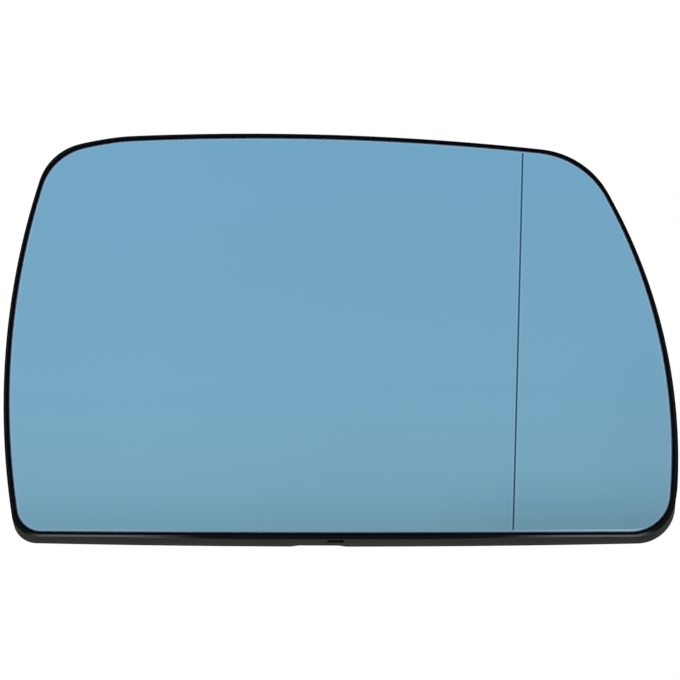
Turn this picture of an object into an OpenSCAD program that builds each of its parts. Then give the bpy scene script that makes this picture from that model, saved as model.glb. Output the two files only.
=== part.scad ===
// Right-hand door mirror glass: a bent, heated mirror in its moulded backing plate.
// It is drawn lying on its back: x runs outboard, y up the door and z out of the face.
// stood() turns it upright, so the face looks along -Y and the top is at +Z.
// The origin is on the axis of the snap ring, at the middle of the hooks' lands.

/* [Glass outline] */
// Width of the glass between its two bottom corners
glass_w = 186.6; // [182:0.2:190]
// Height of the glass, half of it above and half below the ring's axis
glass_h = 116.4; // [112:0.2:120]
// Ring's axis, inboard of the middle of that width
ring_shift = 0.7; // [0:0.1:2]
// Top corner on the outboard side, in from the bottom corner
top_out_in = 22.9; // [18:0.1:28]
// Top corner on the outboard side, below that height
top_out_drop = 3.7; // [2:0.1:6]
// Shoulder of the top edge, in from the bottom corner on the inboard side
shoulder_in = 28.9; // [27:0.1:32]
// Shoulder of the top edge, above that height
shoulder_rise = 1.4; // [1:0.1:2]
// Top corner on the inboard side, in from the bottom corner
top_in_in = 7.5; // [6:0.1:8.5]
// Top corner on the inboard side, below that height
top_in_drop = 3.2; // [2.8:0.1:4]
// Bulge of the bottom edge between its corners
bottom_bulge = 1.15; // [0.6:0.05:2.5]
// Bulge of the outboard edge
out_bulge = 10.5; // [8:0.5:13]
// Bulge of the top edge between its outboard corner and the shoulder
top_bulge = 2.5; // [1.5:0.1:3]
// Bulge of the top edge between the shoulder and its inboard corner
shoulder_bulge = 0.6; // [0.4:0.05:0.8]
// Bulge of the inboard edge
in_bulge = 7.2; // [5:0.1:9]
// Radius of the bottom corner on the inboard side
bottom_in_r = 7.5; // [4:0.5:12]
// Radius of the bottom corner on the outboard side
bottom_out_r = 12; // [6:0.5:18]
// Radius of the top corner on the outboard side
top_out_r = 25; // [16:0.5:30]
// Radius of the shoulder
shoulder_r = 60; // [20:5:80]
// Radius of the top corner on the inboard side
top_in_r = 16.5; // [12:0.5:17.5]

/* [Bent face] */
// Radius of the face, both ways, inboard of the line
face_r = 1400; // [1000:50:2200]
// Radius of the face from side to side at its outboard end
face_end_r = 350; // [250:10:600]
// Line where the wide-angle zone starts, out from the ring's axis
line_x = 52; // [40:1:62]

/* [Glass and layers] */
// Thickness of the glass
glass_t = 2; // [1.6:0.1:3]
// Thickness of the heating film
film_t = 0.3; // [0.2:0.05:0.5]
// Edge of the heating film, in from the edge of the glass
film_inset = 3; // [2:0.5:8]
// Thickness of the foam adhesive sheet
adhesive_t = 0.8; // [0.5:0.1:1.2]
// Edge of the adhesive sheet, in from the edge of the glass
adhesive_inset = 1.5; // [1:0.5:6]

/* [Rim] */
// Gap between the edge of the glass and the lip
glass_gap = 0.1; // [0.05:0.05:0.3]
// Width of the lip round the glass
lip_w = 0.85; // [0.6:0.05:0.9]
// How far the lip stands in front of the glass
lip_proud = 0.4; // [0.2:0.1:0.8]
// Depth of the step from the front of the lip to the ledge
ledge_drop = 1.1; // [0.8:0.1:2]
// Skirt's corner beyond the glass's, bottom corner on the inboard side
skirt_bottom_in = 1.35; // [1.2:0.05:3]
// Skirt's corner beyond the glass's, bottom corner on the outboard side
skirt_bottom_out = 1.75; // [1.2:0.05:3]
// Skirt's corner beyond the glass's, top corner on the outboard side
skirt_top_out = 0.45; // [0.45:0.05:2]
// Skirt's corner beyond the glass's, top corner on the inboard side
skirt_top_in = 0.8; // [0.7:0.05:2]
// Skirt's corners below the bottom corners of the glass
skirt_bottom = 1.65; // [1.2:0.05:3]
// Skirt's corner above the glass's, top corner on the outboard side
skirt_rise_out = 1.25; // [1.2:0.05:2]
// Skirt's corners above the glass's, shoulder and top corner on the inboard side
skirt_rise_in = 1.65; // [1.4:0.05:2.2]
// Bulge of the skirt's two ends beyond that of the glass
skirt_bulge = 0.45; // [0.2:0.05:0.7]
// Corner radii of the skirt, less than those of the glass
skirt_tighter = 0.5; // [0.2:0.1:1]
// Depth of the rear edge of the skirt behind the middle of the face
skirt_depth = 12.2; // [11.8:0.2:16]
// Wall of the skirt
skirt_t = 1.6; // [1.2:0.1:2.4]
// Width of the notch in the skirt's rear edge at the bottom
notch_w = 16; // [10:0.5:22]
// Depth of the notch
notch_depth = 1.4; // [0.8:0.1:2.2]
// Run of the slope at each end of the notch
notch_slope = 2.2; // [1:0.1:4]
// Middle of the notch, inboard of the ring's axis
notch_x = 6.5; // [4:0.5:12]
// Width of the drain slot
drain_w = 4.8; // [3:0.2:7]
// Height of the drain slot
drain_h = 3.4; // [2:0.1:3.6]
// Middle of the drain slot, inboard of the ring's axis
drain_x = 1.6; // [1:0.2:8]
// Drain slot, in from the skirt's rear edge
drain_inset = 5.4; // [5:0.1:5.8]
// How far the drain slot reaches in from the skirt's face
drain_reach = 3; // [2:0.1:4]

/* [Back of the plate] */
// Thickness of the plate behind the glass
plate_t = 1.8; // [1.4:0.1:2.6]
// Thickness of the ribs
rib_t = 1.4; // [1:0.1:2]
// Height of the ribs
rib_h = 1.5; // [0.8:0.1:1.6]
// Radius of the round rib next to the snap ring
round_rib_r = 40; // [36:0.5:41]
// Radius of the round rib near the two ends
end_rib_r = 68; // [64:0.5:76]
// Number of ribs that run out to the skirt
spoke_count = 12; // [6, 12, 18]

/* [Snap ring] */
// Radius inside the hooks, where the adjuster's disc snaps in
hook_r = 26.2; // [24:0.1:28]
// Reach of the hooks in from their fingers
hook_reach = 1; // [0.6:0.1:1.4]
// Length of the land on the hooks
hook_land = 1.2; // [1:0.1:1.6]
// Slope that leads the adjuster's disc onto the hooks
hook_lead = 0.8; // [0.5:0.1:0.9]
// Thickness of the fingers
finger_t = 1.6; // [1.2:0.1:2.2]
// Angle that a finger spans
finger_span = 24; // [18:1:28]
// Clearance between the adjuster's disc and the collar
collar_clearance = 0.8; // [0.5:0.1:0.9]
// Thickness of the collar
collar_t = 2; // [1.6:0.1:2.6]
// Angle of the slot between a finger and the collar
slot_span = 3.5; // [2.5:0.5:5]
// Number of fingers
finger_count = 6; // [4, 6, 8]
// Rear end of the snap ring, behind the skirt's rear edge
ring_stand = 3.2; // [2.6:0.1:4.5]

/* [Heater terminals] */
// Width of a terminal's blade
blade_w = 6.3; // [4.8:0.1:7]
// Thickness of a terminal's sheet
blade_t = 0.8; // [0.6:0.1:1]
// Length of the blade, from the front of the foot
blade_len = 7.7; // [6.6:0.1:8.4]
// Cut corners at the end of the blade
blade_chamfer = 1; // [0.5:0.1:1.6]
// Radius of the lock hole in the blade
blade_hole_r = 0.85; // [0.5:0.05:1]
// Lock hole, in from the end of the blade
blade_hole_inset = 4; // [3:0.1:5]
// Length of a terminal's foot
foot_len = 9; // [8:0.5:12]
// Distance of the blades from the ring's axis, outboard
terminal_x = 54; // [53:0.5:56]
// Distance of each blade above or below the ring's axis
terminal_y = 13.5; // [11:0.5:15]
// Radius of the rivet's shank
rivet_r = 1.25; // [0.8:0.05:1.4]
// Radius of the rivet's head
rivet_head_r = 2.2; // [1.8:0.1:2.8]
// Thickness of the rivet's head
rivet_head_t = 0.7; // [0.5:0.1:1]
// Rivet's middle, back from the blade along the foot
rivet_offset = 5; // [4:0.1:6]
// Clearance round a terminal in its window
window_clearance = 1.4; // [1:0.1:2]
// Wall round a terminal's window
window_wall = 1.2; // [0.8:0.1:1.6]

/* [Hidden] */
// How far cuts run past what they cut
overrun = 1;
// Gap between layers that are stuck together, and between a rivet and its holes
bond_gap = 0.05;
// How far a polygon's side may lie inside the arc that it follows
chord_error = 0.05;
full_turn = 360;
// Sides of small circles, and of the circles that bend the layers
round_fn = 96;
bend_fn = 720;
// Straight strips that the wide-angle zone is made of
end_steps = 8;

// Depths behind the face, each to the front of a layer
film_depth = glass_t + bond_gap;
adhesive_depth = film_depth + film_t + bond_gap;
plate_depth = adhesive_depth + adhesive_t + bond_gap;
tray_depth = plate_depth + plate_t;
foot_depth = adhesive_depth;
head_depth = foot_depth + blade_t + bond_gap;

// Corners of the glass, out from the ring's axis and above or below it
bottom_in_x = glass_w / 2 - ring_shift;
bottom_out_x = glass_w / 2 + ring_shift;
top_out_x = bottom_out_x - top_out_in;
shoulder_x = bottom_in_x - shoulder_in;
top_in_x = bottom_in_x - top_in_in;
bottom_y = glass_h / 2;
top_out_y = glass_h / 2 - top_out_drop;
shoulder_y = glass_h / 2 + shoulder_rise;
top_in_y = glass_h / 2 - top_in_drop;

// Offsets out from the edge of the glass
lip_out = glass_gap + lip_w;
skirt_side = max(skirt_bottom_in, skirt_bottom_out);

// Heights above the origin
face_z = skirt_depth + ring_stand - hook_lead - hook_land / 2;
rear_z = face_z - skirt_depth;
ring_end_z = rear_z - ring_stand;

// Middle of a terminal's foot, out from the ring's axis
foot_x = terminal_x - foot_len / 2;

// Radii and angles of the snap ring's parts
finger_r = hook_r + hook_reach;
collar_r = hook_r + collar_clearance;
collar_out_r = collar_r + collar_t;
finger_pitch = full_turn / finger_count;
collar_span = finger_pitch - finger_span - 2 * slot_span;

// Box that holds the whole plate, for cuts and for the bent slabs
reach_x = max(bottom_in_x, bottom_out_x) + max(in_bulge, out_bulge) + skirt_side + overrun;
top_reach = shoulder_y + top_bulge + max(skirt_rise_in, skirt_rise_out);
reach_y = max(bottom_y + bottom_bulge + skirt_bottom, top_reach) + overrun;
far_depth = face_z - ring_end_z + overrun;
bend_span = 2 * asin(reach_y / (face_r - far_depth));
end_gain = (1 / face_end_r - 1 / face_r) / (6 * (reach_x - line_x));
end_xs = [for (i = [1:end_steps]) line_x + (reach_x - line_x) * i / end_steps];

// An outline is its corners, bulges and corner radii, from the bottom on the inboard side
glass_edge = [[[-bottom_in_x, -bottom_y], [bottom_out_x, -bottom_y], [top_out_x, top_out_y],
               [-shoulder_x, shoulder_y], [-top_in_x, top_in_y]],
              [bottom_bulge, out_bulge, top_bulge, shoulder_bulge, in_bulge],
              [bottom_in_r, bottom_out_r, top_out_r, shoulder_r, top_in_r]];
skirt_edge = [[[-bottom_in_x - skirt_bottom_in, -bottom_y - skirt_bottom],
               [bottom_out_x + skirt_bottom_out, -bottom_y - skirt_bottom],
               [top_out_x + skirt_top_out, top_out_y + skirt_rise_out],
               [-shoulder_x, shoulder_y + skirt_rise_in],
               [-top_in_x - skirt_top_in, top_in_y + skirt_rise_in]],
              [bottom_bulge, out_bulge + skirt_bulge, top_bulge, shoulder_bulge,
               in_bulge + skirt_bulge],
              [for (r = glass_edge[2]) r - skirt_tighter]];

// Centre and radius of the circle through two corners, with its bulge outwards
function side_circle(a, b, bulge) =
    let (run = b - a,
         len = norm(run),
         r = (len * len / 4 + bulge * bulge) / (2 * bulge),
         out = [run[1], -run[0]] / len)
    [(a + b) / 2 + out * (bulge - r), r];

// Where two circles cross, on the side of a near point
function crossing(p, p_r, q, q_r, near) =
    let (d = norm(q - p),
         u = (q - p) / d,
         a = (p_r * p_r - q_r * q_r + d * d) / (2 * d),
         h = sqrt(p_r * p_r - a * a) * [-u[1], u[0]],
         foot = p + a * u)
    norm(foot + h - near) < norm(foot - h - near) ? foot + h : foot - h;

function bearing(from, to) = atan2(to[1] - from[1], to[0] - from[0]);
function onward(start, end) = end < start ? end + full_turn : end;

// Points of one arc without its last, which starts the next
function arc(centre, r, start, end, offset) =
    let (steps = max(2, ceil((end - start) / (2 * acos(1 - chord_error / r)))))
    [for (i = [0:steps - 1])
        let (a = start + (end - start) * i / steps)
        centre + (r + offset) * [cos(a), sin(a)]];

// Points of an edge moved outwards by an offset: its side arcs, and the arcs at its corners
// that touch them
function outline(edge, offset) =
    let (corners = edge[0],
         radii = edge[2],
         n = len(corners),
         sides = [for (i = [0:n - 1]) side_circle(corners[i], corners[(i + 1) % n], edge[1][i])],
         centres = [for (i = [0:n - 1])
             let (before = sides[(i + n - 1) % n],
                  after = sides[i])
             crossing(before[0], before[1] - radii[i], after[0], after[1] - radii[i], corners[i])])
    [for (i = [0:n - 1])
        let (side = sides[i],
             turn_start = bearing(sides[(i + n - 1) % n][0], centres[i]),
             side_start = bearing(side[0], centres[i]),
             side_end = onward(side_start, bearing(side[0], centres[(i + 1) % n])))
        each concat(arc(centres[i], radii[i], turn_start, onward(turn_start, side_start), offset),
                    arc(side[0], side[1], side_start, side_end, offset))];

module stood() {
    rotate([90, 0, 0]) children();
}

// A flat section, with the depth of the part along x and its width along y, swung about
// the centre of the face's sphere
module swung() {
    translate([0, 0, face_z - face_r])
        rotate(a = 180, v = [1, 0, 1])
            rotate([0, 0, -bend_span / 2])
                rotate_extrude(angle = bend_span, $fn = bend_fn) children();
}

// Reach of the section at x, for all that lies deeper than a depth behind the face: the
// sphere, and in the wide-angle zone a fall that grows with the cube of the distance
function bent_r(depth, x) =
    sqrt(pow(face_r - depth, 2) - x * x) - end_gain * pow(max(0, x - line_x), 3);

// Where the first strip of the wide-angle zone would meet the middle, if it ran on
function strip_start(depth) =
    let (fall = bent_r(depth, line_x) - bent_r(depth, end_xs[0]))
    bent_r(depth, line_x) + fall * line_x / (end_xs[0] - line_x);

// Section of all that lies deeper than a depth behind the face: one true arc up to the
// line, and straight strips from there to the outboard end
module deeper(depth) {
    intersection() {
        circle(r = face_r - depth, $fn = bend_fn);
        polygon(concat([[0, -reach_x], [strip_start(depth), -reach_x], [strip_start(depth), 0]],
                       [for (x = end_xs) [bent_r(depth, x), x]],
                       [[0, reach_x]]));
    }
}

module section_box() {
    translate([face_r - far_depth, -reach_x]) square([far_depth + overrun, 2 * reach_x]);
}

// All that lies behind the bent face by more than a depth
module behind(depth) {
    swung() intersection() {
        section_box();
        deeper(depth);
    }
}

// The bent layer between two depths behind the face
module layer(front, back) {
    swung() intersection() {
        section_box();
        difference() {
            deeper(front);
            deeper(back);
        }
    }
}

// An edge, moved outwards by an offset and carried straight forwards from a height
module prism(edge, offset, from_z) {
    translate([0, 0, from_z])
        linear_extrude(height = face_z + overrun - from_z)
            polygon(outline(edge, offset));
}

// Stands things on the face over the middle of a terminal's foot, square to the face there
module at_foot(side) {
    translate([0, 0, face_z - face_r])
        rotate([-side * asin(terminal_y / face_r), asin(foot_x / face_r), 0])
            translate([0, 0, face_r]) children();
}

// Cylinder on a rivet's axis, between two depths behind the face
module at_rivet(side, front, back, r) {
    at_foot(side)
        translate([foot_len / 2 - rivet_offset, 0, -back])
            cylinder(h = back - front, r = r, $fn = round_fn);
}

// Glass cut to the outline and bent
module glass_body() {
    intersection() {
        prism(glass_edge, 0, rear_z);
        layer(0, glass_t);
    }
}

module film_body() {
    difference() {
        intersection() {
            prism(glass_edge, -film_inset, rear_z);
            layer(film_depth, film_depth + film_t);
        }
        for (side = [-1, 1])
            at_rivet(side, 0, tray_depth, rivet_r + bond_gap);
    }
}

// Room round a terminal's foot and blade, through the adhesive and the plate
module window(side) {
    translate([0, 0, rear_z])
        linear_extrude(height = face_z + overrun - rear_z)
            window_plan(side, window_clearance);
}

module adhesive_body() {
    difference() {
        intersection() {
            prism(glass_edge, -adhesive_inset, rear_z);
            layer(adhesive_depth, adhesive_depth + adhesive_t);
        }
        for (side = [-1, 1])
            window(side);
    }
}

// Rim with its lip, ledge and skirt, round a bent plate that is open behind
module shell() {
    difference() {
        intersection() {
            union() {
                prism(glass_edge, lip_out, rear_z);
                intersection() {
                    prism(skirt_edge, 0, rear_z);
                    behind(ledge_drop - lip_proud);
                }
            }
            behind(-lip_proud);
        }
        intersection() {
            prism(glass_edge, glass_gap, rear_z);
            layer(-lip_proud - overrun, plate_depth);
        }
        intersection() {
            prism(skirt_edge, -skirt_t, rear_z - overrun);
            behind(tray_depth);
        }
    }
}

// One finger with its hook, as a profile of radius and height turned through its span
module finger() {
    rotate([0, 0, -finger_span / 2])
        rotate_extrude(angle = finger_span, $fn = round_fn)
            polygon([[finger_r, face_z], [finger_r, hook_land / 2], [hook_r, hook_land / 2],
                     [hook_r, -hook_land / 2], [hook_r + hook_lead, ring_end_z],
                     [finger_r + finger_t, ring_end_z], [finger_r + finger_t, face_z]]);
}

// The stiff part of the ring between two fingers
module collar_part() {
    rotate([0, 0, -collar_span / 2])
        rotate_extrude(angle = collar_span, $fn = round_fn)
            polygon([[collar_r, ring_end_z], [collar_out_r, ring_end_z],
                     [collar_out_r, face_z], [collar_r, face_z]]);
}

// Plan of a round rib
module round_rib(r) {
    difference() {
        circle(r = r + rib_t / 2, $fn = round_fn);
        circle(r = r - rib_t / 2, $fn = round_fn);
    }
}

// Plan of a rib from a radius out to the skirt
module spoke(start_r) {
    translate([start_r, -rib_t / 2]) square([reach_x + reach_y - start_r, rib_t]);
}

// Plan of a terminal's window in the plate, with a margin round the terminal
module window_plan(side, margin) {
    translate([terminal_x - foot_len - margin, side * terminal_y - blade_w / 2 - margin])
        square([foot_len + blade_t + 2 * margin, blade_w + 2 * margin]);
}

// Plan of all the ribs: spokes that meet a collar part start there, the rest at the round rib
module ribs_plan() {
    intersection() {
        union() {
            round_rib(round_rib_r);
            round_rib(end_rib_r);
            for (i = [0:spoke_count - 1])
                rotate(full_turn * i / spoke_count) spoke(round_rib_r);
            for (i = [0:finger_count - 1])
                rotate(finger_pitch * (i + 0.5)) spoke(collar_r + collar_t / 2);
            for (side = [-1, 1])
                window_plan(side, window_clearance + window_wall);
        }
        polygon(outline(skirt_edge, -skirt_t / 2));
    }
}

// Opening in the plate in front of a hook, which leaves room for the core that forms it
module hook_window() {
    rotate([0, 0, -finger_span / 2])
        rotate_extrude(angle = finger_span, $fn = round_fn)
            polygon([[hook_r, rear_z], [finger_r, rear_z],
                     [finger_r, face_z + overrun], [hook_r, face_z + overrun]]);
}

// Flat-bottomed cut with sloping ends, through the skirt's rear edge at the bottom
module notch() {
    translate([-notch_x, -bottom_y, rear_z])
        rotate([90, 0, 0])
            linear_extrude(height = reach_y)
                polygon([[-notch_w / 2 - notch_slope, -notch_depth],
                         [-notch_w / 2 + notch_slope, notch_depth],
                         [notch_w / 2 - notch_slope, notch_depth],
                         [notch_w / 2 + notch_slope, -notch_depth]]);
}

// Slot through the bottom of the rim, which lets water out from behind the glass's edge
module drain_slot() {
    skirt_y = bottom_y + bottom_bulge + skirt_bottom;
    translate([-drain_x - drain_w / 2, -skirt_y - overrun, rear_z + drain_inset])
        cube([drain_w, drain_reach + overrun, drain_h]);
}

module plate_body() {
    difference() {
        union() {
            shell();
            intersection() {
                translate([0, 0, rear_z]) linear_extrude(height = face_z - rear_z) ribs_plan();
                layer(plate_depth + plate_t / 2, tray_depth + rib_h);
            }
            intersection() {
                for (i = [0:finger_count - 1])
                    rotate([0, 0, finger_pitch * i]) {
                        finger();
                        rotate([0, 0, finger_pitch / 2]) collar_part();
                    }
                behind(plate_depth + plate_t / 2);
            }
        }
        for (i = [0:finger_count - 1])
            rotate([0, 0, finger_pitch * i]) hook_window();
        for (side = [-1, 1])
            window(side);
        notch();
        drain_slot();
    }
}

// Flat foot that lies on the film, with the blade folded back from its outboard end
module terminal_body(side) {
    difference() {
        at_foot(side) {
            translate([-foot_len / 2, -blade_w / 2, -foot_depth - blade_t])
                cube([foot_len + blade_t, blade_w, blade_t]);
            translate([foot_len / 2, 0, -foot_depth])
                rotate([-90, 0, -90])
                    linear_extrude(height = blade_t)
                        blade_plan();
        }
        at_rivet(side, 0, tray_depth, rivet_r + bond_gap);
        at_foot(side)
            translate([foot_len / 2 - overrun, 0, blade_hole_inset - blade_len - foot_depth])
                rotate([0, 90, 0])
                    cylinder(h = blade_t + 2 * overrun, r = blade_hole_r, $fn = round_fn);
    }
}

// Blade with its cut corners, from its root
module blade_plan() {
    polygon([[-blade_w / 2, 0], [-blade_w / 2, blade_len - blade_chamfer],
             [-blade_w / 2 + blade_chamfer, blade_len],
             [blade_w / 2 - blade_chamfer, blade_len],
             [blade_w / 2, blade_len - blade_chamfer], [blade_w / 2, 0]]);
}

// Shank through the film and the foot, with its head on the foot
module rivet_body(side) {
    at_rivet(side, film_depth, head_depth + rivet_head_t / 2, rivet_r);
    at_rivet(side, head_depth, head_depth + rivet_head_t, rivet_head_r);
}

module mirror_glass() { color("#75a6c4") stood() glass_body(); }
module heating_film() { color("#4a4a4e") stood() film_body(); }
module adhesive_sheet() { color("#dedcd4") stood() adhesive_body(); }
module backing_plate() { color("#1c1d1c") stood() plate_body(); }
module heater_terminal_1() { color("#c8a24c") stood() terminal_body(1); }
module heater_terminal_2() { color("#c8a24c") stood() terminal_body(-1); }
module terminal_rivet_1() { color("#b8b8b0") stood() rivet_body(1); }
module terminal_rivet_2() { color("#b8b8b0") stood() rivet_body(-1); }

mirror_glass();
heating_film();
adhesive_sheet();
backing_plate();
heater_terminal_1();
heater_terminal_2();
terminal_rivet_1();
terminal_rivet_2();
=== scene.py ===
import math

import bmesh
import bpy
import numpy as np
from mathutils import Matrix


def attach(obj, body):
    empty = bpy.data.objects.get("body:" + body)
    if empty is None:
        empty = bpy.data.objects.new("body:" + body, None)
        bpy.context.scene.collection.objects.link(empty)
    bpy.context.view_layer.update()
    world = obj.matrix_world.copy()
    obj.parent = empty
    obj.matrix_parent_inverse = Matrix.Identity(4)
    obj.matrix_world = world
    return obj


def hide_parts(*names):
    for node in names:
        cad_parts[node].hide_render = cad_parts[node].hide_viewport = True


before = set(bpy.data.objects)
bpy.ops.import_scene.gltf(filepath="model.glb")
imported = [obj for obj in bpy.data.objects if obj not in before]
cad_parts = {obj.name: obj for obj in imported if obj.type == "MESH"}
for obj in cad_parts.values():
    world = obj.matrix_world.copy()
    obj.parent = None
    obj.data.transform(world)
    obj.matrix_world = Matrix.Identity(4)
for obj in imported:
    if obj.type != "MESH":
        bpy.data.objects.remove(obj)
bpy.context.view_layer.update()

# The mirror glass
# Two millimetres of glass, cut to the outline, bent to one large sphere and more tightly
# beyond the line near its outboard end. Its edge is ground and its face is coated blue.
mm = 0.001
full_turn = 2.0 * math.pi

# Corners in x and height, then the bulges of the sides and the radii of the corners
glass_corners = np.array([[-92.6, -58.2], [94.0, -58.2], [71.1, 54.5], [-63.7, 59.6],
                          [-85.1, 55.0]])
glass_bulges = (1.15, 10.5, 2.5, 0.6, 7.2)
glass_radii = (7.5, 12.0, 25.0, 60.0, 16.5)
side_steps = (110, 72, 80, 20, 72)
corner_steps = 24

# Places along the bottom edge where the rim has the ends of its notch and of its slot
bottom_marks = (-14.5, -12.3, -4.0, -0.7, 0.8, 1.5)


def side_circle(a, b, bulge):
    """Circle through two corners. With half the chord c and the bulge h, the radius is
    (c * c + h * h) / (2 h), and the centre lies that far inside the bulge's top."""
    run = b - a
    length = np.hypot(*run)
    radius = (length * length / 4 + bulge * bulge) / (2 * bulge)
    outwards = np.array([run[1], -run[0]]) / length
    return (a + b) / 2 + outwards * (bulge - radius), radius


def crossing(p, p_radius, q, q_radius, near):
    """Where two circles cross: along the line of centres by the cosine rule, then square
    to it by Pythagoras, on the side of the near point."""
    d = np.hypot(*(q - p))
    u = (q - p) / d
    along = (p_radius**2 - q_radius**2 + d * d) / (2 * d)
    across = math.sqrt(p_radius**2 - along**2) * np.array([-u[1], u[0]])
    foot = p + along * u
    both = np.array([foot + across, foot - across])
    return both[np.argmin(np.hypot(*(both - near).T))]


def turned_on(start, end):
    """The end angle, with whole turns added until it comes after the start."""
    return start + (end - start) % full_turn


def edge_track(corners, bulges, radii):
    """Closed chain of side arcs and the corner arcs that touch them. Each point is kept as
    centre x, centre y, radius and angle, so that it can be moved outwards."""
    count = len(corners)
    sides = [side_circle(corners[i], corners[(i + 1) % count], bulges[i]) for i in range(count)]
    centres = [crossing(sides[i - 1][0], sides[i - 1][1] - radii[i],
                        sides[i][0], sides[i][1] - radii[i], corners[i]) for i in range(count)]
    parts = []
    for i, (centre, radius) in enumerate(sides):
        turn_start = math.atan2(*(centres[i] - sides[i - 1][0])[::-1])
        turn_end = turned_on(turn_start, math.atan2(*(centres[i] - centre)[::-1]))
        side_end = turned_on(turn_end, math.atan2(*(centres[(i + 1) % count] - centre)[::-1]))
        along_corner = np.linspace(turn_start, turn_end, corner_steps, endpoint=False)
        along_side = np.linspace(turn_end, side_end, side_steps[i], endpoint=False)
        if i == 0:
            marked = np.arcsin((np.array(bottom_marks) - centre[0]) / radius) - math.pi / 2
            marked = turn_end + (marked - turn_end) % full_turn
            along_side[np.abs(along_side[:, None] - marked).argmin(axis=0)] = marked
        for middle, reach, angles in ((centres[i], radii[i], along_corner),
                                      (centre, radius, along_side)):
            parts.append(np.column_stack([np.tile([*middle, reach], (len(angles), 1)), angles]))
    return np.concatenate(parts)


def edge_points(track, offset):
    """Points of a chain moved outwards: centre plus (radius + offset) times the angle's
    cosine and sine. They are x and height, in millimetres."""
    reach = track[:, 2:3] + offset
    return track[:, :2] + reach * np.column_stack([np.cos(track[:, 3]), np.sin(track[:, 3])])


# The face stands a hair inside the exact one, as the drawn part's facets do. Past the
# line it bends more and more tightly, down to the end's radius at the end's reach
face_out = 13.98
sphere_radius = 1400.0
line_x = 52.0
end_reach = 107.25
end_radius = 350.0
end_gain = (1 / end_radius - 1 / sphere_radius) / (6 * (end_reach - line_x))


def behind_face(points, depth):
    """Points of x and height, set at a depth behind the bent face. The face's section is
    a circle, less a fall that grows with the cube of the distance past the line, and
    the section is turned upwards about the sphere's centre."""
    x, height = points[..., 0], points[..., 1]
    fall = end_gain * np.maximum(0, x - line_x) ** 3
    section = np.sqrt((sphere_radius - depth) ** 2 - x**2) - fall
    out = face_out - sphere_radius + np.sqrt(section**2 - height**2)
    return np.stack([x, -out, height], axis=-1) * mm


def ring_quads(count, around):
    """Faces of a grid of closed rings, ring i to ring i + 1: each is a point, the one under
    it in the next ring, and their two neighbours ahead."""
    ring = np.arange(around)
    ahead = (ring + 1) % around
    start = (np.arange(count - 1) * around)[:, None]
    quads = [start + ring, start + around + ring, start + around + ahead, start + ahead]
    return np.stack(quads, axis=-1).reshape(-1, 4)


def pole_faces(first, around, pole):
    """Triangles from a closed ring to the pole that closes it."""
    ring = np.arange(around)
    return np.column_stack([np.full(around, pole), first + ring, first + (ring + 1) % around])


sharp_angle = math.radians(35)


def solid_mesh(name, points, faces, materials, which=None):
    """A mesh from points and face corners. Edges past the sharp angle stay sharp, and which
    holds the number of each face's material."""
    mesh = bpy.data.meshes.new(name)
    mesh.from_pydata(points.tolist(), [], faces)
    mesh.shade_smooth()
    mesh.set_sharp_from_angle(angle=sharp_angle)
    for material in materials:
        mesh.materials.append(material)
    if which is not None:
        mesh.polygons.foreach_set("material_index", which.astype(np.int32))
    mesh.update()
    return mesh


def lofted_solid(name, rows, materials, ring_materials=None):
    """Closed rings of points joined by quads, with a pole at the mean of each end ring.
    ring_materials holds the material's number for each strip between two rings."""
    rows = np.asarray(rows)
    count, around = rows.shape[:2]
    points = np.vstack([rows.reshape(-1, 3), rows[0].mean(axis=0), rows[-1].mean(axis=0)])
    first_pole = count * around
    quads = ring_quads(count, around)
    front = pole_faces(0, around, first_pole)
    back = pole_faces(first_pole - around, around, first_pole + 1)[:, ::-1]
    strips = np.zeros(count - 1) if ring_materials is None else np.asarray(ring_materials)
    which = np.concatenate([np.repeat(strips, around), np.repeat(strips[[0, -1]], around)])
    faces = quads.tolist() + front.tolist() + back.tolist()
    return solid_mesh(name, points, faces, materials, which)


def shown(mesh, slot_name, *cad_nodes):
    """Puts a finished mesh in the scene, on the part's one body, in place of CAD nodes."""
    piece = bpy.data.objects.new(mesh.name, mesh)
    bpy.context.scene.collection.objects.link(piece)
    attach(piece, "root")
    if cad_nodes:
        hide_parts(*cad_nodes)
    return piece


def placed(tree, kind, **settings):
    """A new node of a kind, with its properties set."""
    node = tree.nodes.new("ShaderNode" + kind)
    for setting, value in settings.items():
        setattr(node, setting, value)
    return node


def filled(tree, socket, value):
    """Links a socket from another socket, or sets it to a plain value."""
    if isinstance(value, bpy.types.NodeSocket):
        tree.links.new(value, socket)
    else:
        socket.default_value = value


def worked_out(tree, operation, *values):
    """The result of one Math node."""
    node = placed(tree, "Math", operation=operation)
    for socket, value in zip(node.inputs, values):
        filled(tree, socket, value)
    return node.outputs[0]


def spread(tree, value, least, most, start=0.0, end=1.0, kind="LINEAR"):
    """A value carried from the range start to end onto the range least to most."""
    node = placed(tree, "MapRange", interpolation_type=kind)
    for name, given in (("Value", value), ("From Min", start), ("From Max", end),
                        ("To Min", least), ("To Max", most)):
        filled(tree, node.inputs[name], given)
    return node.outputs["Result"]


def mixed(tree, share, a, b):
    """A colour between a and b by a share."""
    node = placed(tree, "Mix", data_type="RGBA")
    for name, given in (("Factor", share), ("A", a), ("B", b)):
        filled(tree, node.inputs[name], given)
    return node.outputs["Result"]


def object_place(tree):
    """Object coordinates, which are the part's own, in metres."""
    return placed(tree, "TexCoord").outputs["Object"]


def place_parts(tree):
    """The object coordinates one by one, as the outputs X, Y and Z."""
    parts = placed(tree, "SeparateXYZ")
    filled(tree, parts.inputs[0], object_place(tree))
    return parts.outputs


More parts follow.
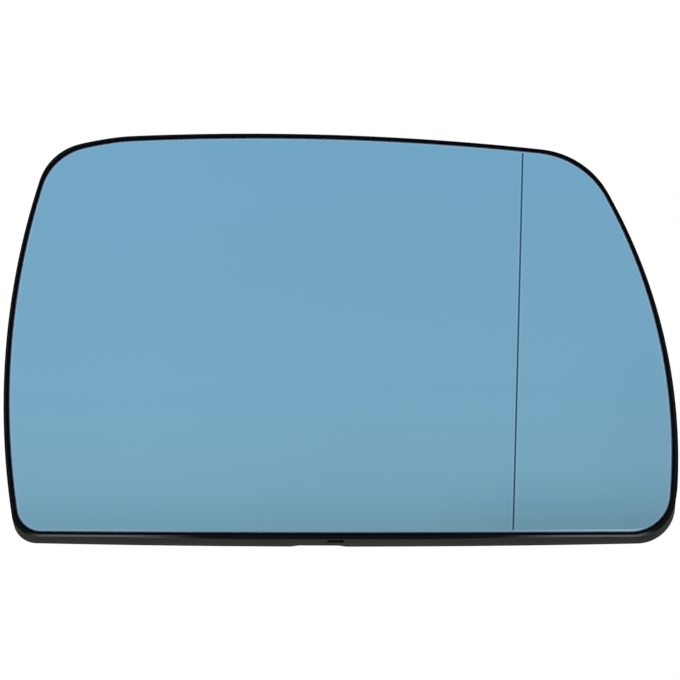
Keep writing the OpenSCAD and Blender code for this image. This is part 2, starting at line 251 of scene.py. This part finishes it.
def new_group(name, given, results):
    """A node group with named inputs, each with its first value, and named outputs."""
    group = bpy.data.node_groups.new(name, "ShaderNodeTree")
    for socket, (kind, value) in given.items():
        made = group.interface.new_socket(socket, in_out="INPUT", socket_type="NodeSocket" + kind)
        made.default_value = value
    for socket, kind in results.items():
        group.interface.new_socket(socket, in_out="OUTPUT", socket_type="NodeSocket" + kind)
    sources = group.nodes.new("NodeGroupInput").outputs
    return group, sources, group.nodes.new("NodeGroupOutput").inputs


def unevenness_group():
    """What hand and time leave on any surface: one noise, on coordinates multiplied by the
    stretch, sets the colour between two colours and the roughness between two values."""
    group, given, result = new_group(
        "unevenness",
        {"Stretch": ("Vector", (100.0, 100.0, 100.0)),
         "First colour": ("Color", (0.5, 0.5, 0.5, 1.0)),
         "Second colour": ("Color", (0.5, 0.5, 0.5, 1.0)),
         "Least roughness": ("Float", 0.4), "Most roughness": ("Float", 0.6)},
        {"Colour": "Color", "Roughness": "Float"})
    stretched = placed(group, "VectorMath", operation="MULTIPLY")
    filled(group, stretched.inputs[0], object_place(group))
    filled(group, stretched.inputs[1], given["Stretch"])
    cloud = placed(group, "TexNoise")
    filled(group, cloud.inputs["Vector"], stretched.outputs[0])
    filled(group, cloud.inputs["Scale"], 1.0)
    share = cloud.outputs["Fac"]
    filled(group, result["Colour"],
           mixed(group, share, given["First colour"], given["Second colour"]))
    filled(group, result["Roughness"],
           spread(group, share, given["Least roughness"], given["Most roughness"]))
    return group


unevenness = unevenness_group()


def uneven_material(name, stretch, first, second, roughness):
    """A material whose colour and roughness come from the shared unevenness. It gives back
    the material, its node tree, its one shader and the colour."""
    material = bpy.data.materials.new(name)
    material.use_nodes = True
    tree = material.node_tree
    shader = tree.nodes["Principled BSDF"]
    uneven = placed(tree, "Group", node_tree=unevenness)
    stretches = stretch if isinstance(stretch, tuple) else (stretch,) * 3
    values = (stretches, (*first, 1.0), (*second, 1.0), *roughness)
    for socket, value in zip(uneven.inputs, values):
        socket.default_value = value
    filled(tree, shader.inputs["Base Color"], uneven.outputs["Colour"])
    filled(tree, shader.inputs["Roughness"], uneven.outputs["Roughness"])
    return material, tree, shader, uneven.outputs["Colour"]


def zone_line_group():
    """Masks of the fine slanted line that marks the wide-angle zone, by the distance from
    x = start + lean * height. The line's mask falls from 1 to 0 between 3/4 and 5/4 of the
    half width, and the margin's between there and four half widths."""
    group, given, result = new_group(
        "zone_line",
        {"Start": ("Float", 0.0516), "Lean": ("Float", 0.0342), "Half width": ("Float", 0.00026)},
        {"Line": "Float", "Margin": "Float"})
    place = place_parts(group)
    line = worked_out(group, "MULTIPLY_ADD", place["Z"], given["Lean"], given["Start"])
    away = worked_out(group, "ABSOLUTE", worked_out(group, "SUBTRACT", place["X"], line))
    inner, outer, far = [worked_out(group, "MULTIPLY", given["Half width"], widths)
                         for widths in (0.75, 1.25, 4.0)]
    filled(group, result["Line"], spread(group, away, 1.0, 0.0, inner, outer, "SMOOTHSTEP"))
    filled(group, result["Margin"], spread(group, away, 1.0, 0.0, outer, far, "SMOOTHSTEP"))
    return group


blue_mirror, tree, shader, coat = uneven_material("blue_mirror_coat", 9.0, (0.170, 0.369, 0.537),
                                                  (0.180, 0.385, 0.557), (0.015, 0.04))
shader.inputs["Metallic"].default_value = 1.0
zone_line = placed(tree, "Group", node_tree=zone_line_group()).outputs
line_blue = (0.022, 0.088, 0.165, 1.0)
margin_blue = (0.230, 0.415, 0.560, 1.0)
margin_strength = 0.8
margin = worked_out(tree, "MULTIPLY", zone_line["Margin"], margin_strength)
lightened = mixed(tree, margin, coat, margin_blue)
filled(tree, shader.inputs["Base Color"], mixed(tree, zone_line["Line"], lightened, line_blue))

# The ground edge's own colour, to which a painted shade and a painted gleam are added below
ground_edge_with_painted_gleam, tree, shader, ground_blue = uneven_material(
    "ground_glass_edge_with_painted_gleam", 400.0, (0.29, 0.465, 0.65), (0.32, 0.495, 0.69), (0.28, 0.34))
shader.inputs["Metallic"].default_value = 0.6

# Along the bottom the ground edge's colour is darker, as painted shade, and lighter towards
# the two ends, as a painted gleam, though not in the right corner. Each pair of places, in
# metres, is where one tone gives way to the other: the first three in x, the last in height
painted_gleam_right = (0.035, 0.088)
right_corner = (0.0838, 0.0890)
painted_gleam_left = (-0.065, -0.030)
painted_gleam_left_strength = 0.35
bottom_reach = (-0.057, -0.050)
painted_shade_blue = (0.25, 0.41, 0.575, 1.0)
painted_gleam_blue = (0.44, 0.66, 0.90, 1.0)
place = place_parts(tree)
right_end = spread(tree, place["X"], 0.0, 1.0, *painted_gleam_right, "SMOOTHSTEP")
before_corner = spread(tree, place["X"], 1.0, 0.0, *right_corner, "SMOOTHSTEP")
right_end = worked_out(tree, "MULTIPLY", right_end, before_corner)
left_end = spread(tree, place["X"], painted_gleam_left_strength, 0.0, *painted_gleam_left, "SMOOTHSTEP")
painted_gleam_share = worked_out(tree, "MAXIMUM", right_end, left_end)
painted_bottom_blue = mixed(tree, painted_gleam_share, painted_shade_blue, painted_gleam_blue)
at_bottom = spread(tree, place["Z"], 1.0, 0.0, *bottom_reach, "SMOOTHSTEP")
filled(tree, shader.inputs["Base Color"], mixed(tree, at_bottom, ground_blue, painted_bottom_blue))

# The ground edge, from the face round to the back: offset from the edge, depth
glass_thickness = 2.0
ground_edge = ((-0.78, 0.0), (-0.72, 0.002), (-0.62, 0.014), (-0.48, 0.045), (-0.34, 0.095),
               (-0.21, 0.16), (-0.1, 0.24), (-0.03, 0.33), (0.0, 0.44), (0.0, 1.75),
               (-0.05, 1.88), (-0.15, 1.97), (-0.3, glass_thickness))

# Rings of the face as shares of its edge, of which the back has every sixth, and one more
# ring that keeps the face's shading apart from the ground edge's
face_shares = np.linspace(0, 1, 49)[1:-1]
last_face_ring = -0.84
glass_track = edge_track(glass_corners, glass_bulges, glass_radii)
face_edge = edge_points(glass_track, ground_edge[0][0])
back_edge = edge_points(glass_track, ground_edge[-1][0])
glass_rows = ([behind_face(face_edge * share, 0.0) for share in face_shares]
              + [behind_face(edge_points(glass_track, last_face_ring), 0.0)]
              + [behind_face(edge_points(glass_track, offset), depth)
                 for offset, depth in ground_edge]
              + [behind_face(back_edge * share, glass_thickness) for share in face_shares[::-6]])
is_ground = np.arange(len(glass_rows) - 1) > len(face_shares)
mirror_mesh = lofted_solid("mirror_face", glass_rows, (blue_mirror, ground_edge_with_painted_gleam), is_ground)
shown(mirror_mesh, "mirror", "mirror_glass")

# The heating film
# A dark plastic foil stuck to the back of the glass. Its printed tracks run back and
# forth and warm the mirror; it shows only where the plate is open.
foil, tree, shader, foil_black = uneven_material(
    "heater_foil", 300.0, (0.042, 0.042, 0.047), (0.048, 0.048, 0.053), (0.35, 0.45))
track_side = (0.45, 0.55)
track_grey = (0.10, 0.10, 0.105, 1.0)
tracks = placed(tree, "TexWave", bands_direction="Z")
tracks.inputs["Scale"].default_value = 80.0
filled(tree, tracks.inputs["Vector"], object_place(tree))
on_track = spread(tree, tracks.outputs["Fac"], 0.0, 1.0, *track_side, "SMOOTHSTEP")
filled(tree, shader.inputs["Base Color"], mixed(tree, on_track, foil_black, track_grey))


def dressed(node_name, material):
    """Gives a CAD node, which stays as it is, its one material."""
    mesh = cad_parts[node_name].data
    mesh.materials.clear()
    mesh.materials.append(material)


dressed("heating_film", foil)

# The adhesive sheet
# Thin white foam, sticky on both faces, die-cut to the glass and open round the
# terminals. It joins the glass and its film to the plate.


def grain_group():
    """Fine grain: the distances of round cells, plus a share of a slow noise, as a height."""
    group, given, result = new_group("grain", {"Scale": ("Float", 1800.0)}, {"Height": "Float"})
    slow_scale = 120.0
    slow_share = 0.4
    cells = placed(group, "TexVoronoi", feature="SMOOTH_F1")
    cloud = placed(group, "TexNoise")
    filled(group, cells.inputs["Scale"], given["Scale"])
    filled(group, cloud.inputs["Scale"], slow_scale)
    for texture in (cells, cloud):
        filled(group, texture.inputs["Vector"], object_place(group))
    height = worked_out(
        group, "MULTIPLY_ADD", cloud.outputs["Fac"], slow_share, cells.outputs["Distance"])
    filled(group, result["Height"], height)
    return group


grain = grain_group()


def roughened(tree, shader, scale, depth):
    """Gives a shader the shared grain: its height, times a depth in metres, tilts the
    surface."""
    cells = placed(tree, "Group", node_tree=grain)
    cells.inputs["Scale"].default_value = scale
    bump = placed(tree, "Bump")
    bump.inputs["Strength"].default_value = 0.5
    bump.inputs["Distance"].default_value = depth
    filled(tree, bump.inputs["Height"], cells.outputs["Height"])
    filled(tree, shader.inputs["Normal"], bump.outputs["Normal"])


foam, tree, shader, _ = uneven_material(
    "foam_adhesive", 200.0, (0.66, 0.64, 0.59), (0.74, 0.72, 0.68), (0.8, 0.9))
roughened(tree, shader, 2500.0, 0.0001)
dressed("adhesive_sheet", foam)

# The rim of the backing plate
# Moulded in one with the plate: a narrow lip round the glass, a step down to a ledge, and
# a straight skirt back to a flat rear edge, with a shallow notch and a drain slot below.

# How far the skirt's corners stand outside the glass's, in x and height, and how much
# tighter they are
skirt_reach = [[-1.35, -1.65], [1.75, -1.65], [0.45, 1.25], [0.0, 1.65], [-0.8, 1.65]]
skirt_tighter = 0.5
skirt_bulges = (1.15, 10.95, 2.5, 0.6, 7.65)
skirt_radii = [radius - skirt_tighter for radius in glass_radii]
skirt_track = edge_track(glass_corners + skirt_reach, skirt_bulges, skirt_radii)

# The arcs of the skirt stand a hair inside the exact ones, as the drawn part's sides do
skirt_face = -0.05
skirt_inside = -1.62
rear = 1.8
plate_front = 3.25
tray_depth = 5.05
ledge_depth = 0.7
notch_places = (-14.5, -12.3, -0.7, 1.5)
notch_depth = 1.4
bottom_line = -60.0
slot_start, slot_end = -4.0, 0.8
slot_low, slot_high = rear + 5.4, rear + 8.8
slot_reach = 1.35
slot_taper = 0.75

# The lip from the glass outwards: offset from the glass's edge, depth
lip_inside, lip_outside = 0.1, 0.95
pocket = plate_front + 0.02
lip_profile = ((-4.0, pocket), (lip_inside, pocket), (lip_inside, 1.5), (lip_inside, -0.24),
               (0.12, -0.32), (0.18, -0.375), (0.28, -0.395), (0.45, -0.4), (0.6, -0.395),
               (0.74, -0.36), (0.85, -0.28), (0.92, -0.17), (lip_outside, -0.03),
               (lip_outside, 0.2))

# The ledge from the lip to the skirt: share of its width, depth
ledge_profile = ((0.06, ledge_depth - 0.03), (0.15, ledge_depth), (0.6, ledge_depth),
                 (0.82, ledge_depth + 0.03), (0.94, ledge_depth + 0.11), (1.0, ledge_depth + 0.27))

# The rear edge, from the outside to the inside: offset from the skirt's face, height
rear_profile = ((0.0, 0.3), (-0.03, 0.14), (-0.1, 0.04), (-0.24, 0.0), (-1.33, 0.0),
                (-1.47, 0.04), (-1.54, 0.14), (skirt_inside - skirt_face, 0.3))

# The round corner between the skirt and the plate: offset from the skirt's arcs, depth
tray_profile = ((skirt_inside, tray_depth + 1.2), (-1.64, tray_depth + 0.35),
                (-1.74, tray_depth + 0.1), (-2.0, tray_depth - 0.02), (-3.0, tray_depth - 0.05))


def rear_height(points):
    """Height of the skirt's rear edge: flat, apart from the notch at the bottom, whose
    sides slope straight from the edge to its flat top."""
    raised = np.interp(points[:, 0], notch_places, (0.0, notch_depth, notch_depth, 0.0))
    return rear + np.where(points[:, 1] < bottom_line + 10.0, raised, 0.0)


def upright(points, out):
    """Points of x and height, at heights out from the ring's middle, in metres."""
    return np.column_stack([points[:, 0], -np.broadcast_to(out, len(points)), points[:, 1]]) * mm


def eased(value, start, end):
    """From 0 at the start to 1 at the end by the smooth step 3 s^2 - 2 s^3."""
    s = np.clip((value - start) / (end - start), 0.0, 1.0)
    return s * s * (3 - 2 * s)


# Near both ends of the bottom edge the ledge grows narrower and slopes back from the lip,
# and it stays narrow round both lower corners. The pairs are the places between which
# this sets in: from the bottom's middle, down the skirt and from the left, then for the
# corners outwards, and down on the right and on the left
bottom_middle = -2.0
along_bottom, down_skirt, from_left = (25.0, 66.0), (54.0, 60.2), (-95.0, -87.0)
into_corner, down_right, down_left = (84.0, 93.0), (44.0, 53.0), (53.5, 59.5)
end_narrowing, corner_narrowing = 0.7, 0.5
lift_at_lip, fall_across = 0.42, 0.32

lip_foot = edge_points(glass_track, lip_outside)
skirt_line = edge_points(skirt_track, skirt_face)
skirt_x, skirt_drop = skirt_line[:, 0], -skirt_line[:, 1]
pinch = eased(np.abs(skirt_x - bottom_middle), *along_bottom) * eased(skirt_drop, *down_skirt)
pinch *= eased(skirt_x, *from_left)
corner_drop = np.where(skirt_x > 0, eased(skirt_drop, *down_right), eased(skirt_drop, *down_left))
low_corners = eased(np.abs(skirt_x), *into_corner) * corner_drop
narrowing = np.maximum(end_narrowing * pinch, corner_narrowing * low_corners)
ledge_line = lip_foot + (1 - narrowing[:, None]) * (skirt_line - lip_foot)
rim_rows = [behind_face(edge_points(glass_track, offset), depth) for offset, depth in lip_profile]
for share, depth in ledge_profile:
    sloped = depth + (fall_across * share - lift_at_lip) * pinch
    rim_rows.append(behind_face(lip_foot + share * (ledge_line - lip_foot), sloped))

# Two rows of the skirt run through the slot's upper and lower side, and carry it straight
# from the ledge to the rear edge
skirt_top = -rim_rows[-1][:, 1] / mm
at_slot = np.argmin(np.hypot(skirt_x - slot_start, skirt_drop + bottom_line))
upper_row = len(rim_rows)
for level in (slot_high, slot_low):
    share = (level - rear) / (skirt_top[at_slot] - rear)
    line = skirt_line + share * (ledge_line - skirt_line)
    rim_rows.append(upright(line, rear + share * (skirt_top - rear)))
for offset, height in rear_profile:
    line = edge_points(skirt_track, skirt_face + offset)
    rim_rows.append(upright(line, rear_height(line) + height))
rim_rows += [behind_face(edge_points(skirt_track, offset), depth) for offset, depth in tray_profile]
rim_rows.append(rim_rows[0])

# The faces over the slot's mouth make way for its walls and its end, which slopes on
# the inboard side
around = len(skirt_line)
rim_points = np.concatenate(rim_rows[:-1])
rim_quads = ring_quads(len(rim_rows), around) % len(rim_points)
rim_row = np.repeat(np.arange(len(rim_rows) - 1), around)
middle = (skirt_line + np.roll(skirt_line, -1, axis=0)) / 2
over_slot = (middle[:, 0] > slot_start) & (middle[:, 0] < slot_end) & (middle[:, 1] < 0)
mouth = np.tile(over_slot, len(rim_rows) - 1) & (rim_row == upper_row)
columns = np.flatnonzero(over_slot)
columns = np.append(columns, columns[-1] + 1)
mouth_loop = np.concatenate([columns + (upper_row + 1) * around,
                             (columns + upper_row * around)[::-1]])
slot_end_points = rim_points[mouth_loop] + np.array([0.0, 0.0, slot_reach * mm])
slot_end_points[:, 0] = slot_end * mm + slot_taper * (slot_end_points[:, 0] - slot_end * mm)
end_loop = len(rim_points) + np.arange(len(mouth_loop))
slot_walls = np.column_stack([mouth_loop, np.roll(mouth_loop, -1), np.roll(end_loop, -1), end_loop])
low, high = end_loop[:len(columns)], end_loop[:len(columns) - 1:-1]
slot_cap = np.column_stack([high[:-1], low[:-1], low[1:], high[1:]])
rim_points = np.concatenate([rim_points, slot_end_points])
rim_faces = np.concatenate([rim_quads[~mouth], slot_walls, slot_cap])


def black_plastic(name, first, second, roughness, specular, grain_depth):
    """Moulded black plastic, with its near-blacks, its gloss and its grain."""
    material, tree, shader, _ = uneven_material(name, 60.0, first, second, roughness)
    shader.inputs["Specular IOR Level"].default_value = specular
    roughened(tree, shader, 1800.0, grain_depth)
    return material


# The lip and the ledge are the one plastic of the skirt and the plate, with colours darkened as
# painted shade
lip_painted_shade_black = black_plastic(
    "lip_painted_shade_black", (0.0008, 0.0018, 0.005), (0.0015, 0.003, 0.008), (0.35, 0.45), 0.02, 0.00001)
ledge_painted_shade_and_sheen = black_plastic(
    "ledge_painted_shade_and_sheen", (0.005, 0.0055, 0.006), (0.007, 0.0075, 0.008), (0.5, 0.6), 0.04, 0.00001)
skirt_black = black_plastic(
    "skirt_black", (0.012, 0.0127, 0.0108), (0.0155, 0.0163, 0.0142), (0.5, 0.65), 0.04, 0.00003)
plate_black = black_plastic(
    "plate_black", (0.012, 0.0125, 0.0115), (0.017, 0.0175, 0.0165), (0.45, 0.6), 0.3, 0.00003)

# At both ends of the bottom edge, short of the corners, a glossy coat is laid on the ledge
# as a painted highlight. The pairs are the places, in metres, between which the painted
# sheen starts outwards from its own middle, ends outwards from x = 0, and ends upwards
painted_sheen_middle = 0.003
painted_sheen_start, painted_sheen_end, painted_sheen_top = (0.040, 0.066), (0.0855, 0.0915), (-0.0590, -0.0570)
tree = ledge_painted_shade_and_sheen.node_tree
place = place_parts(tree)
from_middle = worked_out(tree, "ABSOLUTE", worked_out(tree, "SUBTRACT", place["X"], painted_sheen_middle))
aside = spread(tree, from_middle, 0.0, 1.0, *painted_sheen_start, "SMOOTHSTEP")
from_centre = worked_out(tree, "ABSOLUTE", place["X"])
before_corner = spread(tree, from_centre, 1.0, 0.0, *painted_sheen_end, "SMOOTHSTEP")
below = spread(tree, place["Z"], 1.0, 0.0, *painted_sheen_top, "SMOOTHSTEP")
painted_sheen = worked_out(tree, "MULTIPLY", worked_out(tree, "MULTIPLY", aside, before_corner), below)
shader = tree.nodes["Principled BSDF"]
filled(tree, shader.inputs["Coat Weight"], painted_sheen)
shader.inputs["Coat IOR"].default_value = 1.8
shader.inputs["Coat Roughness"].default_value = 0.3

# The four blacks in turn: the lip, its outer rounding with the ledge, the skirt, and from
# the rear edge's flat inwards the plate; the first two are darkened as painted shade. The
# slot's walls are the skirt's and its end is the ledge's, darker as painted shade
lip_rounding = 10
ledge_rows = len(lip_profile) + len(ledge_profile)
slot_rows, rows_to_flat = 2, 3
first_rows = (lip_rounding, ledge_rows - 1, ledge_rows + slot_rows + rows_to_flat)
blacks = (lip_painted_shade_black, ledge_painted_shade_and_sheen, skirt_black, plate_black)
rim_material = np.digitize(rim_row[~mouth], first_rows)
slot_material = np.repeat((blacks.index(skirt_black), blacks.index(ledge_painted_shade_and_sheen)),
                          (len(slot_walls), len(slot_cap)))
rim_material = np.concatenate([rim_material, slot_material])
rim_mesh = solid_mesh("plate_rim", rim_points, rim_faces.tolist(), blacks, rim_material)
shown(rim_mesh, "black_plastic", "backing_plate")

# The back of the backing plate
# Behind the glass the plate is a bent tray with low ribs, two windows for the terminals,
# and the snap ring with its sprung fingers. Its mesh is the drawn part's, cut in the rim.
same_point = 1e-7


def merged_copy(name, node_name):
    """A CAD node's mesh under a new name, its loose triangles joined at the same points."""
    work = bmesh.new()
    work.from_mesh(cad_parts[node_name].data)
    bmesh.ops.remove_doubles(work, verts=work.verts, dist=same_point)
    mesh = bpy.data.meshes.new(name)
    work.to_mesh(mesh)
    work.free()
    mesh.materials.clear()
    return mesh


# The block that the plate is cut with: its front lies in the glass's pocket, and its side
# in the skirt's wall as far as the ribs reach and inside the skirt behind them
in_wall, inside_skirt, near_middle = [edge_points(skirt_track, offset)
                                      for offset in (-1.3, -1.9, -60.0)]
block_front, rib_depth, step_depth = plate_front - 0.25, tray_depth + 1.65, 6.8
behind_ring = -1.6
block_rows = [behind_face(in_wall * share, block_front) for share in (0.25, 0.5, 0.75, 1.0)]
block_rows += [behind_face(in_wall, rib_depth), behind_face(inside_skirt, step_depth),
               upright(inside_skirt, behind_ring), upright(near_middle, behind_ring)]

# After the cut, points nearer than the first are joined, and edges shorter than the
# second are taken out, in metres
cut_point = 1e-6
sliver = 2e-5


def cut_by(mesh, block):
    """What a closed mesh and a closed block have in common, as a new mesh without the
    slivers that the cut leaves."""
    pieces = [bpy.data.objects.new(each.name, each) for each in (mesh, block)]
    for piece in pieces:
        bpy.context.scene.collection.objects.link(piece)
    cut = pieces[0].modifiers.new("cut", "BOOLEAN")
    cut.operation = "INTERSECT"
    cut.solver = "EXACT"
    cut.object = pieces[1]
    after_cut = pieces[0].evaluated_get(bpy.context.evaluated_depsgraph_get())
    result = bpy.data.meshes.new_from_object(after_cut)
    for piece in pieces:
        bpy.data.objects.remove(piece)
    work = bmesh.new()
    work.from_mesh(result)
    bmesh.ops.remove_doubles(work, verts=work.verts, dist=cut_point)
    bmesh.ops.dissolve_degenerate(work, edges=work.edges, dist=sliver)
    work.to_mesh(result)
    work.free()
    return result


whole_plate = merged_copy("whole_plate", "backing_plate")
back_mesh = cut_by(whole_plate, lofted_solid("block", block_rows, ()))
back_mesh.name = "plate_back"
back_mesh.materials.clear()
back_mesh.materials.append(plate_black)
back_mesh.shade_smooth()

# The cut leaves long thin faces, so only low angles are smoothed, and large faces lead
back_mesh.set_sharp_from_angle(angle=math.radians(10))
plate_back = shown(back_mesh, "black_plastic")
weighted = plate_back.modifiers.new("weighted_normals", "WEIGHTED_NORMAL")
weighted.keep_sharp = True
weighted.weight = 100

# The heater's terminals
# Two stamped brass tabs, bent at a right angle: the foot lies on the film, and the blade
# stands back through its window in the plate.
brass, tree, shader, _ = uneven_material(
    "stamped_brass", (400.0, 400.0, 4000.0), (0.56, 0.39, 0.13), (0.66, 0.48, 0.19), (0.24, 0.36))
shader.inputs["Metallic"].default_value = 1.0
for number in (1, 2):
    tab_mesh = merged_copy(f"terminal_tab_{number}", f"heater_terminal_{number}")
    tab_mesh.materials.append(brass)
    tab = shown(tab_mesh, "terminal_brass", f"heater_terminal_{number}")
    rounded = tab.modifiers.new("rounded_edges", "BEVEL")
    rounded.width = 0.0001
    rounded.segments = 2
    rounded.limit_method = "ANGLE"
    rounded.angle_limit = math.radians(40)

# The terminals' rivets
# A small tinned rivet holds each tab to the film: its head is a low dome on the foot, and
# its shank runs through the foot and the film.
tin, tree, shader, _ = uneven_material(
    "tinned_rivet", 1500.0, (0.50, 0.50, 0.48), (0.62, 0.62, 0.60), (0.26, 0.36))
shader.inputs["Metallic"].default_value = 1.0

# Radius and depth behind the face, from the front end round the dome to its top
rivet_profile = ((0.6, 2.05), (1.15, 2.05), (1.25, 2.12), (1.25, 3.25), (2.12, 3.25),
                 (2.19, 3.29), (2.2, 3.36), (2.12, 3.52), (1.9, 3.7), (1.5, 3.84), (1.0, 3.91),
                 (0.5, 3.945))
turns = np.linspace(0, full_turn, 48, endpoint=False)


def turned_about(profile, seat, x, height):
    """Rings about a line square to the face at its foot: each point is the seat plus the
    depth times the line's direction plus the radius times two directions square to it."""
    back = math.sqrt(sphere_radius**2 - x**2 - height**2)
    inwards = np.array([-x, back, -height]) / sphere_radius
    across = np.array([inwards[1], -inwards[0], 0.0]) / np.hypot(inwards[0], inwards[1])
    upwards = np.cross(across, inwards)
    ring = np.cos(turns)[:, None] * across + np.sin(turns)[:, None] * upwards
    return [seat + mm * (depth * inwards + radius * ring) for radius, depth in profile]


# The tab's foot is square to the face over its middle, and the rivet is a little inboard
# of that
foot_x, foot_height = 49.5, 13.5
rivet_inboard = 0.5
for number, height in ((1, foot_height), (2, -foot_height)):
    foot_middle = behind_face(np.array([foot_x, height]), 0.0)
    seat = foot_middle - np.array([rivet_inboard, 0.0, 0.0]) * mm
    rings = turned_about(rivet_profile, seat, foot_x, height)
    shown(lofted_solid(f"rivet_{number}", rings, (tin,)), "rivet_metal", f"terminal_rivet_{number}")

# The floor
# A plain pale floor well below the glass.
floor_height = -0.45
floor_reach = 6
floor_corners = [(x * floor_reach, y * floor_reach, floor_height)
                 for x, y in ((-1, -1), (1, -1), (1, 1), (-1, 1))]
floor_mesh = bpy.data.meshes.new("floor")
floor_mesh.from_pydata(floor_corners, [], [(0, 1, 2, 3)])
floor_paint, _, shader, _ = uneven_material(
    "floor_paint", 2.0, (0.855, 0.855, 0.855), (0.865, 0.865, 0.865), (0.9, 0.95))
shader.inputs["Specular IOR Level"].default_value = 0.0
floor_mesh.materials.append(floor_paint)
floor = bpy.data.objects.new("floor", floor_mesh)
bpy.context.scene.collection.objects.link(floor)

# The light
# A white studio all round gives soft light, a little stronger from above. The mirror
# shows the studio's wall, which is a little darker and warmer towards the floor.
world = bpy.data.worlds.new("studio")
bpy.context.scene.world = world
world.use_nodes = True
tree = world.node_tree
tree.nodes.clear()
direction = placed(tree, "SeparateXYZ")
filled(tree, direction.inputs[0], placed(tree, "TexCoord").outputs["Generated"])
rays = placed(tree, "LightPath").outputs

from_below, from_above = 0.75, 1.1
soft_light = placed(tree, "Background")
filled(tree, soft_light.inputs["Strength"],
       spread(tree, direction.outputs["Z"], from_below, from_above, -1.0, 1.0))

# The wall's colours by the upward part of the direction in which it is seen
stops = ((0.100, (0.80, 0.70, 0.62)), (0.149, (0.90, 0.845, 0.765)), (0.160, (0.945, 0.91, 0.845)),
         (0.169, (1.0, 0.96, 0.89)), (0.195, (1.05, 1.0, 0.94)), (0.24, (1.02, 1.01, 0.985)),
         (0.38, (0.97, 1.0, 1.01)))
wall_colours = placed(tree, "ValToRGB")
ramp = wall_colours.color_ramp
while len(ramp.elements) < len(stops):
    ramp.elements.new(0.5)
for element, (position, colour) in zip(ramp.elements, stops):
    element.position = position
    element.color = (*colour, 1.0)
filled(tree, wall_colours.inputs["Fac"], direction.outputs["Z"])
studio_wall = placed(tree, "Background")
filled(tree, studio_wall.inputs["Color"], wall_colours.outputs["Color"])


def shaded(right_start, right_end, low_start, low_end, depth):
    """A soft shade on the studio's wall: a smooth step in x from its start to its end, times
    one downwards that rises to the depth."""
    right = spread(tree, direction.outputs["X"], 0.0, 1.0, right_start, right_end, "SMOOTHSTEP")
    low = spread(tree, direction.outputs["Z"], 0.0, depth, low_start, low_end, "SMOOTHSTEP")
    return worked_out(tree, "MULTIPLY", right, low)


# The left is a little lighter, and the lower right and the far right are shaded
left_light, left_range = 1.03, (-0.12, 0.0)
side_light = spread(tree, direction.outputs["X"], left_light, 1.0, *left_range)
low_shade = shaded(0.04, 0.12, 0.19, 0.15, 0.09)
far_shade = shaded(0.12, 0.26, 0.30, 0.23, 0.045)
less_low = worked_out(tree, "SUBTRACT", side_light, low_shade)
wall_light = worked_out(tree, "SUBTRACT", less_low, far_shade)
filled(tree, studio_wall.inputs["Strength"], wall_light)

white = placed(tree, "Background")
white.inputs["Color"].default_value = (1.0, 1.0, 1.0, 1.0)
seen = worked_out(tree, "MAXIMUM", rays["Is Camera Ray"], rays["Is Transmission Ray"])
lit = soft_light.outputs[0]
for share, other in ((rays["Is Glossy Ray"], studio_wall), (seen, white)):
    choice = placed(tree, "MixShader")
    filled(tree, choice.inputs[0], share)
    filled(tree, choice.inputs[1], lit)
    filled(tree, choice.inputs[2], other.outputs[0])
    lit = choice.outputs[0]
filled(tree, placed(tree, "OutputWorld").inputs["Surface"], lit)

# The camera
# It looks from in front and from a little below, so that the skirt under the glass shows.
# It is turned to the middle of the face, and its small shift frames it as the photo does.
look_up = math.radians(15.5)
stand_off = 1.4
frame_width = 0.19767
face_middle = -0.014
camera_data = bpy.data.cameras.new("photo_camera")
camera_data.sensor_width = 36.0
camera_data.lens = 36.0 * stand_off / frame_width
camera_data.shift_x = -0.0013
camera_data.shift_y = -0.0103
camera_data.clip_start = 0.05
camera_data.clip_end = 30.0
camera = bpy.data.objects.new("photo_camera", camera_data)
camera.location = (0.0, face_middle - stand_off * math.cos(look_up),
                   -stand_off * math.sin(look_up))
camera.rotation_euler = (math.pi / 2 + look_up, 0.0, 0.0)
bpy.context.scene.collection.objects.link(camera)
bpy.context.scene.camera = camera
bpy.context.scene.view_settings.view_transform = "Standard"
